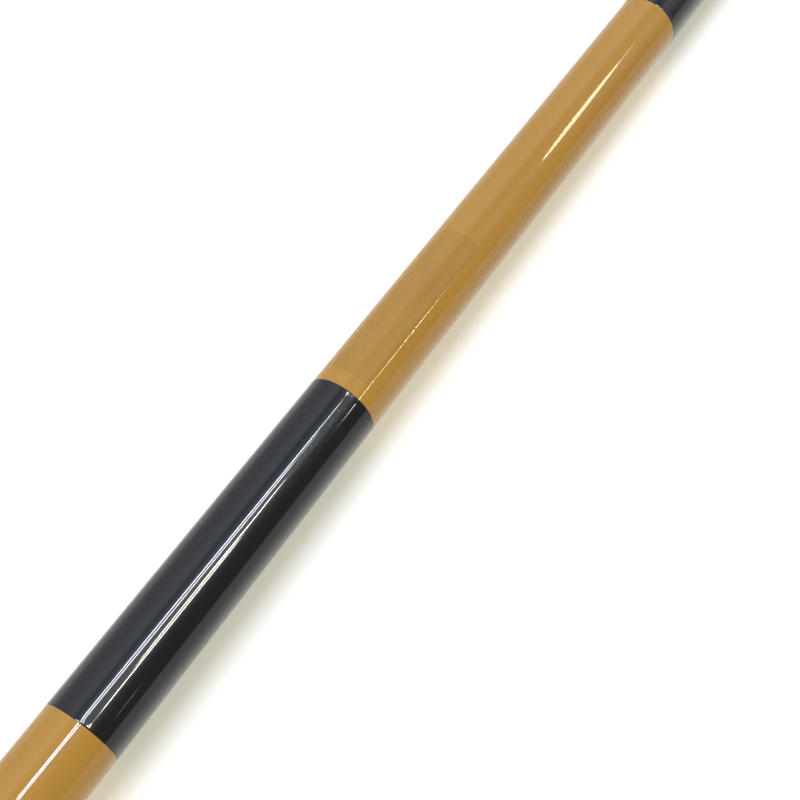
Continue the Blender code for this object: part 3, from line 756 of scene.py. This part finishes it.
def build_grip_cord():
    """One cord wound close from collar to collar, with millimetres along it in its UV map.

    Each turn is pressed a little wide, so that it touches the next.
    """
    places, outer, _ = rings("grip_winding")
    start = places[0] - CORD_TUCK
    end = places[-1] + CORD_TUCK
    turns = round((end - start - CORD) / CORD)
    count = turns * CORD_STEPS + 1
    turn = np.linspace(0.0, 2.0 * math.pi * turns, count)
    x = start + CORD / 2.0 + (end - start - CORD) * turn / turn[-1]
    centre = np.interp(x, places, outer) - CORD / 2.0
    around = 2.0 * math.pi * np.arange(CORD_FACETS) / CORD_FACETS
    place = x[:, None] + 0.5 * CORD * CORD_PRESSED * np.cos(around)[None, :]
    reach = centre[:, None] + 0.5 * CORD * np.sin(around)[None, :]
    points = np.stack([place, reach * np.sin(turn)[:, None], reach * np.cos(turn)[:, None]], 2)
    row = np.arange(count - 1)[:, None] * CORD_FACETS
    side = np.arange(CORD_FACETS)[None, :]
    turned_side = (side + 1) % CORD_FACETS
    faces = np.stack([row + side, row + turned_side, row + CORD_FACETS + turned_side,
                      row + CORD_FACETS + side], 2).reshape(-1, 4).tolist()
    faces.append(list(range(CORD_FACETS - 1, -1, -1)))
    faces.append(list(range((count - 1) * CORD_FACETS, count * CORD_FACETS)))
    mesh = bpy.data.meshes.new("cord")
    mesh.from_pydata(points.reshape(-1, 3).tolist(), [], faces)
    length = np.concatenate([[0.0], np.cumsum(np.diff(turn) * centre[1:])]) / MM
    share = np.arange(CORD_FACETS + 1) / CORD_FACETS
    uv = np.zeros((count - 1, CORD_FACETS, 4, 2))
    uv[:, :, 0:2, 0] = length[:-1, None, None]
    uv[:, :, 2:4, 0] = length[1:, None, None]
    uv[:, :, [0, 3], 1] = share[None, :-1, None]
    uv[:, :, [1, 2], 1] = share[None, 1:, None]
    ends = np.zeros((2 * CORD_FACETS, 2))
    layer = mesh.uv_layers.new(name="cord")
    layer.data.foreach_set("uv", np.concatenate([uv.reshape(-1, 2), ends]).ravel())
    return mesh


dress("grip_cord", build_grip_cord(), "butt", "cotton_cord", [braided_cotton()], "grip_winding")
frame["nodes"]["grip_core"].material_slots[0].material = shaped_foam()
frame["nodes"]["butt_insert"].material_slots[0].material = bright_aluminium
frame["nodes"]["butt_cap_cushion"].material_slots[0].material = rubber


def build_collar(name, cad_node, bead=None):
    """A turned collar over one end of the winding, with a curved toe past any bead."""
    places, outer, inner = rings(cad_node)
    start, end, top = places[0], places[-1], max(outer)
    bead_end = start + bead if bead else end
    outline = [(start, inner[0], 0)]
    for x, first, last in ((start + COLLAR_ROUND, 180.0, 90.0),
                           (bead_end - COLLAR_ROUND, 90.0, 0.0)):
        outline += corner(x, top - COLLAR_ROUND, COLLAR_ROUND, COLLAR_ROUND, first, last)
    if bead:
        waist = top - FRONT_DROP
        for step in range(1, TOE_STEPS + 1):
            share = step / TOE_STEPS
            outline.append((bead_end + (end - bead_end) * share,
                            waist + (outer[-1] - waist) * ease(share), 0))
    outline.append((end, inner[-1], 0))
    dress(name, turned(outline, COLLAR_SIDES), "butt", "dark_lacquer", [dark_collar], cad_node)


build_collar("rear_collar", "grip_rear_collar")
build_collar("front_collar", "grip_front_collar", FRONT_BEAD)


def build_cap():
    """Screwed cap: knurled rim, threaded plug, and a coin slot across its face."""
    flange = max(rings("butt_cap")[1])
    plug = min(rings("butt_insert")[2]) - PLUG_CLEARANCE
    outline = [(0.0, 0.0, 0)]
    outline += corner(CAP_ROUND, flange - CAP_ROUND, CAP_ROUND, CAP_ROUND, 180.0, 90.0)
    for x in (KNURL_START, KNURL_START + KNURL_RUN, KNURL_END - KNURL_RUN, KNURL_END):
        outline.append((x, flange, 0))
    outline += corner(CAP_FLANGE - CAP_BACK_ROUND, flange - CAP_BACK_ROUND, CAP_BACK_ROUND,
                      CAP_BACK_ROUND, 90.0, 0.0, steps=CAP_BACK_STEPS)
    outline.append((CAP_FLANGE, plug, 0))
    rows = int((THREAD_END - THREAD_START) / (THREAD_PITCH / THREAD_ROWS))
    for step in range(rows + 1):
        outline.append((THREAD_START + (THREAD_END - THREAD_START) * step / rows, plug, 0))
    hole_end = PLUG_END - CUSHION_HOLE
    outline += [(PLUG_END - PLUG_CHAMFER, plug, 0), (PLUG_END, plug - PLUG_CHAMFER, 0),
                (PLUG_END, CUSHION_STEM / 2.0, 0), (hole_end, CUSHION_STEM / 2.0, 0),
                (hole_end, 0.0, 0)]

    def shape(x, radius, angle):
        if radius == flange and KNURL_START < x < KNURL_END:
            return radius - KNURL_DEPTH * (0.5 - 0.5 * math.cos(KNURLS * angle))
        if radius == plug and THREAD_START < x < THREAD_END:
            run = min(1.0, (x - THREAD_START) / THREAD_PITCH, (THREAD_END - x) / THREAD_PITCH)
            share = (x / THREAD_PITCH + angle / (2.0 * math.pi)) % 1.0
            groove = max(0.0, 1.0 - abs(share - 0.5) / THREAD_FLANK)
            return radius - THREAD_DEPTH * run * groove
        return radius

    body = turned(outline, BUTT_SIDES, shape)
    outward(body)
    long = flange + CUTTER_MARGIN
    half = COIN_SLOT_WIDTH / 2.0
    low = [(-CUTTER_MARGIN, half), (COIN_SLOT_DEPTH - COIN_SLOT_CHAMFER, half),
           (COIN_SLOT_DEPTH, half - COIN_SLOT_CHAMFER)]
    outline = low + [(x, -z) for x, z in reversed(low)]
    points = [(x, y, z) for y in (-long, long) for x, z in outline]
    count = len(outline)
    faces = [list(range(count)), list(range(2 * count - 1, count - 1, -1))]
    for place in range(count):
        after = (place + 1) % count
        faces.append([after, place, place + count, after + count])
    tool = bpy.data.meshes.new("coin_slot")
    tool.from_pydata(points, [], faces)
    outward(tool)
    return cut(body, tool, "DIFFERENCE")


dress("butt_cap_turned", build_cap(), "butt_cap", "anodised_aluminium", [cap_metal], "butt_cap")


def seal_ring(cad_node):
    """A moulded ring of round section."""
    places, outer, inner = rings(cad_node)
    size = (max(outer) - min(inner)) / 2.0
    outline = corner((places[0] + places[-1]) / 2.0, min(inner) + size, size, size, 0.0, 360.0,
                     steps=SEAL_STEPS)
    return turned(outline[:-1], COLLAR_SIDES)


dress("cap_seal_ring", seal_ring("butt_cap_seal"), "cap_seal", "soft_rubber", [rubber],
      "butt_cap_seal")


def section_lacquer(body, seat):
    """The lacquer of one upper section, with its rings measured back from its mouth."""
    places = rings(f"{body}_blank")[0]
    painted = [(places[-1] - far * MM, places[-1] - near * MM)
               for near, far in SECTION_RINGS[body]]
    return lacquered_blank(f"{body}_lacquer", places[-1], painted, places[0] + seat)


for body, rim, sides in (("third_section", THIRD_RIM, THIRD_SIDES),
                         ("second_section", SECOND_RIM, SECOND_SIDES)):
    lacquer = section_lacquer(body, HOLLOW_SEAT)
    dress(f"{body}_tube", lacquered_tube(f"{body}_blank", rim, sides), body, "ochre_lacquer",
          [lacquer, carbon], f"{body}_blank")
    dress(f"{body}_mouth_binding", mouth_binding(f"{body}_mouth_winding", sides), body,
          "black_lacquer", [black], f"{body}_mouth_winding")

tip_places, tip_outer, _ = rings("tip_blank")
tip_outline = [(x, r, 0) for x, r in zip(tip_places, tip_outer)]
tip_outline = [(tip_places[0], 0.0, 0), *tip_outline, (tip_places[-1], 0.0, 0)]
dress("tip_rod", turned(tip_outline, TIP_SIDES), "tip", "ochre_lacquer",
      [section_lacquer("tip", TIP_SEAT)], "tip_blank")
frame["nodes"]["tip_ferrule"].material_slots[0].material = steel


def build_tip_eye():
    """Headed stem and bent wire loop in one piece."""
    places, outer, _ = rings("tip_eye")
    loop = max(outer) - EYE_WIRE / 2.0
    centre = places[-1] - max(outer)
    start, stem, head = places[0], SWIVEL_STEM / 2.0, SWIVEL_HEAD / 2.0
    outline = [(start, 0.0, 0), (start, head - SWIVEL_SOFT, 0), (start + SWIVEL_SOFT, head, 0),
               (start + SWIVEL_HEAD_LENGTH - SWIVEL_SOFT, head, 0),
               (start + SWIVEL_HEAD_LENGTH, head - SWIVEL_SOFT, 0),
               (start + SWIVEL_HEAD_LENGTH, stem, 0), (centre - loop, stem, 0),
               (centre - loop, 0.0, 0)]
    swivel = turned(outline, SWIVEL_SIDES)
    ring = corner(0.0, loop, EYE_WIRE / 2.0, EYE_WIRE / 2.0, 0.0, 360.0, steps=EYE_WIRE_STEPS)
    wire = turned(ring[:-1], EYE_SIDES)
    wire.transform(Matrix.Translation((centre, 0.0, 0.0)) @ Matrix.Rotation(math.pi / 2, 4, "Z"))
    outward(swivel)
    outward(wire)
    return cut(swivel, wire, "UNION")


dress("tip_eye_turned", build_tip_eye(), "tip_eye", "stainless_steel", [steel], "tip_eye")

# Camera
scene = bpy.context.scene
camera_data = bpy.data.cameras.new("camera")
camera_data.lens = CAMERA_LENS
camera_data.sensor_width = SENSOR_WIDTH
camera_data.clip_start, camera_data.clip_end = CAMERA_CLIP
camera = bpy.data.objects.new("camera", camera_data)
scene.collection.objects.link(camera)
camera_up = CAMERA_RIGHT.cross(CAMERA_FORWARD)
camera.matrix_world = (Matrix.Translation(CAMERA_PLACE)
                       @ Matrix((CAMERA_RIGHT, camera_up, -CAMERA_FORWARD)).transposed().to_4x4())
scene.camera = camera
scene.view_settings.view_transform = "Standard"

# Studio: soft daylight from above, a warm room, and ceiling lamps seen only in the gloss
KEY_SHARE = 0.6
KEY_TILT = 7.5
KEY_ANGLE = 34.0
KEY_COLOUR = (0.95, 1.03, 1.26)
ROOM_COLOUR = (0.49, 0.42, 0.26)
CEILING = 0.6
LOUVRE_ASKEW = 0.3
LOUVRE_FILL = (0.8, 1.0)
LOUVRE_WIDTHS = (0.7, 1.1)
LOUVRE_GLOWS = (0.6, 1.15)
ROUND_LAMP_TURN = math.radians(19.0)

# Table: the gloss sees its glow only beside the rod, and it turns white far from it
FLOOR_HALF = 4.0
FLOOR_COLOUR = (0.8, 0.8, 0.8, 1.0)
FLOOR_GLOW = (0.362, 0.375, 0.334)
FLOOR_BOUNCE_CUT = 0.6
GLOSS_NEAR = 0.012
GLOSS_FAR = 0.03
WHITE_START = 0.5
WHITE_END = 1.2
WHITE_SHAPE = (0.25, 1.0, 1.0)

# The room as the gloss sees it, square to the ceiling tubes: from the rod's right (-1) over
# the ceiling (0) to its left (1)
TUBES_ACROSS = (0.394, 0.919, 0.0)
ROOM_GLOSS = (
    (-1.0, (0.15, 0.15, 0.15)),
    (-0.54, (0.17, 0.17, 0.17)),
    (-0.46, (0.22, 0.24, 0.26)),
    (-0.36, (0.3, 0.32, 0.35)),
    (-0.3, (0.7, 0.72, 0.8)),
    (-0.12, (0.8, 0.84, 0.95)),
    (0.04, (0.4, 0.46, 0.6)),
    (0.24, (0.28, 0.34, 0.48)),
    (0.32, (0.36, 0.43, 0.58)),
    (0.36, (0.8, 0.87, 1.04)),
    (0.52, (0.98, 1.04, 1.2)),
    (0.72, (0.76, 0.8, 0.92)),
    (0.84, (0.64, 0.67, 0.75)),
    (1.0, (0.56, 0.58, 0.62)),
)


def light(name, kind, place, aim, energy, colour, seen_in_gloss, lights_surfaces):
    """Add a lamp that the camera doesn't see, pointing from its place to its aim."""
    data = bpy.data.lights.new(name, kind)
    data.energy = energy
    data.color = colour
    made = bpy.data.objects.new(name, data)
    scene.collection.objects.link(made)
    made.location = place
    made.rotation_euler = (Vector(aim) - Vector(place)).to_track_quat("-Z", "Y").to_euler()
    made.visible_camera = False
    made.visible_glossy = seen_in_gloss
    made.visible_diffuse = lights_surfaces
    return made


tilt = math.radians(KEY_TILT)
key = light("daylight", "SUN", (0.0, math.sin(tilt), math.cos(tilt)), (0.0, 0.0, 0.0),
            math.pi * KEY_SHARE / math.cos(tilt), KEY_COLOUR, False, True)
key.data.angle = math.radians(KEY_ANGLE)


def tube_lamp(name, start, end, width, glow, colour):
    """A straight lamp from start to end, facing down, of an even glow."""
    start, end = Vector(start), Vector(end)
    middle = (start + end) / 2.0
    length = (end - start).length
    made = light(name, "AREA", middle, middle - Vector((0.0, 0.0, 1.0)),
                 4.0 * glow * width * length, colour, True, False)
    made.data.shape = "RECTANGLE"
    made.data.size = length
    made.data.size_y = width
    made.rotation_euler = (0.0, 0.0, math.atan2(end.y - start.y, end.x - start.x))


def lamp_chain(name, places, width, glows, colour):
    """Straight lamps end to end under the ceiling, each with its own glow."""
    for number, (start, end, glow) in enumerate(zip(places, places[1:], glows)):
        tube_lamp(f"{name}_{number}", (*start, CEILING), (*end, CEILING), width, glow, colour)


def louvred_lamp(name, places, pieces, width, glow, colour):
    """A lamp seen through a louvre: short pieces, each set a little askew."""
    along = [0.0]
    for start, end in zip(places, places[1:]):
        along.append(along[-1] + math.dist(start, end))
    step = along[-1] / pieces
    for number in range(pieces):
        ends = []
        for reach, askew in ((number, LOUVRE_ASKEW),
                             (number + draw.uniform(*LOUVRE_FILL), -LOUVRE_ASKEW)):
            ends.append((float(np.interp(reach * step, along, [x for x, _ in places])),
                         float(np.interp(reach * step, along, [y for _, y in places]))
                         + askew * width, CEILING))
        tube_lamp(f"{name}_{number}", *ends, width * draw.uniform(*LOUVRE_WIDTHS),
                  glow * draw.uniform(*LOUVRE_GLOWS), colour)


draw = random.Random(7)
COOL = (0.86, 0.9, 1.0)
WARM = (1.0, 0.98, 0.85)
AMBER = (1.0, 0.88, 0.6)

# A twin tube over the rod, its lengths ending one after the other
lamp_chain("left_tube", ((-0.3, 0.124), (0.117, -0.0425), (0.16, -0.072), (0.258, -0.1275),
                         (0.283, -0.1405)), 0.014, (42.0, 42.0, 42.0, 26.0), COOL)
lamp_chain("right_tube", ((-0.3, 0.1), (0.0758, -0.0844), (0.1189, -0.1105), (0.235, -0.171),
                          (0.262, -0.184)), 0.014, (37.0, 37.0, 37.0, 14.0), COOL)
lamp_chain("tube_tray", ((-0.3, 0.111), (0.117, -0.0765), (0.235, -0.14)), 0.016, (1.5, 1.5), COOL)

# An older twin lamp to its right: one even tube, one behind a louvre that cuts it in pieces
lamp_chain("near_strip", ((0.058, -0.3195), (0.069, -0.3195), (0.107, -0.3255),
                          (0.137, -0.336), (0.169, -0.349), (0.203, -0.357)),
           0.024, (5.0, 42.0, 36.0, 34.0, 34.0), WARM)
louvred_lamp("far_strip", ((0.102, -0.27), (0.112, -0.26), (0.136, -0.264), (0.179, -0.28),
                           (0.199, -0.297), (0.239, -0.3)), 12, 0.026, 48.0, WARM)
louvred_lamp("strip_tray", ((0.1, -0.295), (0.2, -0.324)), 7, 0.02, 5.0, WARM)
louvred_lamp("strip_end", ((0.241, -0.3), (0.272, -0.284)), 5, 0.024, 0.5, COOL)

# A thin far lamp, a strip with gaps to the side, and a round lamp down the room
lamp_chain("thin_lamp", ((0.219, -1.402), (0.233, -1.404)), 0.12, (6.0,), WARM)
lamp_chain("side_tail", ((0.398, -0.703), (0.412, -0.706), (0.4215, -0.708),
                         (0.433, -0.7106)), 0.058, (0.3, 1.0, 24.0), WARM)
lamp_chain("side_strip", tuple((0.4357 + 0.00915 * n, -0.7065 - 0.0019 * n) for n in range(18)),
           0.058, (22.0, 18.0, 6.0, 6.0, 11.0, 19.0, 17.0, 22.0, 10.0, 15.0, 25.0, 16.0, 15.0,
                   9.0, 7.0, 5.0, 4.0), AMBER)


def round_lamp(name, x, y, length, width, glow):
    """An oval lamp facing straight down."""
    made = light(name, "AREA", (x, y, CEILING), (x, y, 0.0),
                 math.pi * glow * length * width, AMBER, True, False)
    made.data.shape = "ELLIPSE"
    made.data.size = length
    made.data.size_y = width
    made.rotation_euler = (0.0, 0.0, ROUND_LAMP_TURN)


round_lamp("round_lamp", 0.6425, -0.39, 0.109, 0.2, 13.0)
round_lamp("round_lamp_glow", 0.655, -0.387, 0.13, 0.14, 3.0)

# World: white behind everything, a bright side and a dark side in the gloss
world = bpy.data.worlds.new("studio")
scene.world = world
world.use_nodes = True
sky = world.node_tree
sky.nodes.clear()
rays = node(sky, "ShaderNodeLightPath").outputs
ahead = node(sky, "ShaderNodeTexCoord").outputs["Generated"]
sideways = node(sky, "ShaderNodeVectorMath", {0: ahead, 1: TUBES_ACROSS},
                operation="DOT_PRODUCT").outputs["Value"]
across = node(sky, "ShaderNodeMapRange", {0: sideways, 1: -1.0, 2: 1.0})
mirrored = node(sky, "ShaderNodeValToRGB", {0: across})
stops = mirrored.color_ramp.elements
for place, _ in ROOM_GLOSS[2:]:
    stops.new((place + 1.0) / 2.0)
for stop, (place, colour) in zip(stops, ROOM_GLOSS):
    stop.position = (place + 1.0) / 2.0
    stop.color = (*colour, 1.0)
gloss_sky = node(sky, "ShaderNodeBackground", {0: mirrored})
room_sky = node(sky, "ShaderNodeBackground", {0: (*ROOM_COLOUR, 1.0)})
white_sky = node(sky, "ShaderNodeBackground", {0: (1.0, 1.0, 1.0, 1.0)})
straight = node(sky, "ShaderNodeMath", {0: rays["Is Camera Ray"], 1: rays["Is Transmission Ray"]},
                operation="MAXIMUM")
unseen = node(sky, "ShaderNodeMixShader", {0: rays["Is Glossy Ray"], 1: room_sky, 2: gloss_sky})
whole = node(sky, "ShaderNodeMixShader", {0: straight, 1: unseen, 2: white_sky})
node(sky, "ShaderNodeOutputWorld", {0: whole})


def build_floor(height, mouth):
    """A pale matt table that keeps the rod's shadow and turns pure white away from it.

    Past the mouth it falls as the rod dips, so that drawn-out sections stay above it.
    """
    made = bpy.data.materials.new("pale_table")
    made.use_nodes = True
    tree = made.node_tree
    fill(made, {"Base Color": FLOOR_COLOUR, "Roughness": 1.0, "Specular IOR Level": 0.0})
    paths = node(tree, "ShaderNodeLightPath").outputs
    place = node(tree, "ShaderNodeTexCoord").outputs["Object"]
    y = node(tree, "ShaderNodeSeparateXYZ", {0: place}).outputs["Y"]
    aside = node(tree, "ShaderNodeMath", {0: y}, operation="ABSOLUTE")
    away = node(tree, "ShaderNodeMapRange", {0: aside, 1: GLOSS_NEAR, 2: GLOSS_FAR})
    dimmed = node(tree, "ShaderNodeMath", {0: away, 1: paths["Is Glossy Ray"]},
                  operation="MULTIPLY")
    dimmed = node(tree, "ShaderNodeMath", {0: paths["Is Diffuse Ray"], 1: FLOOR_BOUNCE_CUT,
                                           2: dimmed}, operation="MULTIPLY_ADD")
    level = node(tree, "ShaderNodeMath", {0: 1.0, 1: dimmed}, operation="SUBTRACT")
    glow = node(tree, "ShaderNodeEmission", {0: (*FLOOR_GLOW, 1.0), 1: level})
    near = node(tree, "ShaderNodeAddShader", {0: tree.nodes["Principled BSDF"], 1: glow})
    white = node(tree, "ShaderNodeEmission", {0: (1.0, 1.0, 1.0, 1.0)})
    seen = node(tree, "ShaderNodeMath", {0: paths["Is Camera Ray"], 1: paths["Is Glossy Ray"]},
                operation="MAXIMUM")
    seen = node(tree, "ShaderNodeMath", {0: seen, 1: paths["Is Transmission Ray"]},
                operation="MAXIMUM")
    far = node(tree, "ShaderNodeVectorMath", {0: place, 1: WHITE_SHAPE}, operation="MULTIPLY")
    far = node(tree, "ShaderNodeVectorMath", {0: far}, operation="LENGTH")
    fade = node(tree, "ShaderNodeMapRange", {0: far.outputs["Value"], 1: WHITE_START,
                                             2: WHITE_END}, interpolation_type="SMOOTHSTEP")
    turned_white = node(tree, "ShaderNodeMath", {0: fade, 1: seen}, operation="MULTIPLY")
    both = node(tree, "ShaderNodeMixShader", {0: turned_white, 1: near, 2: white})
    put(both, tree.nodes["Material Output"].inputs["Surface"])
    mesh = bpy.data.meshes.new("floor")
    fallen = (FLOOR_HALF - mouth) * rod_along.z / rod_along.x
    points = []
    for x, z in ((-FLOOR_HALF, 0.0), (mouth, 0.0), (FLOOR_HALF, fallen)):
        points += [(x, -FLOOR_HALF, z), (x, FLOOR_HALF, z)]
    mesh.from_pydata(points, [], [(0, 2, 3, 1), (2, 4, 5, 3)])
    mesh.materials.append(made)
    floor = bpy.data.objects.new("floor", mesh)
    scene.collection.objects.link(floor)
    floor.location = (0.0, 0.0, height)


low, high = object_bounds()
build_floor(low.z, high.x)
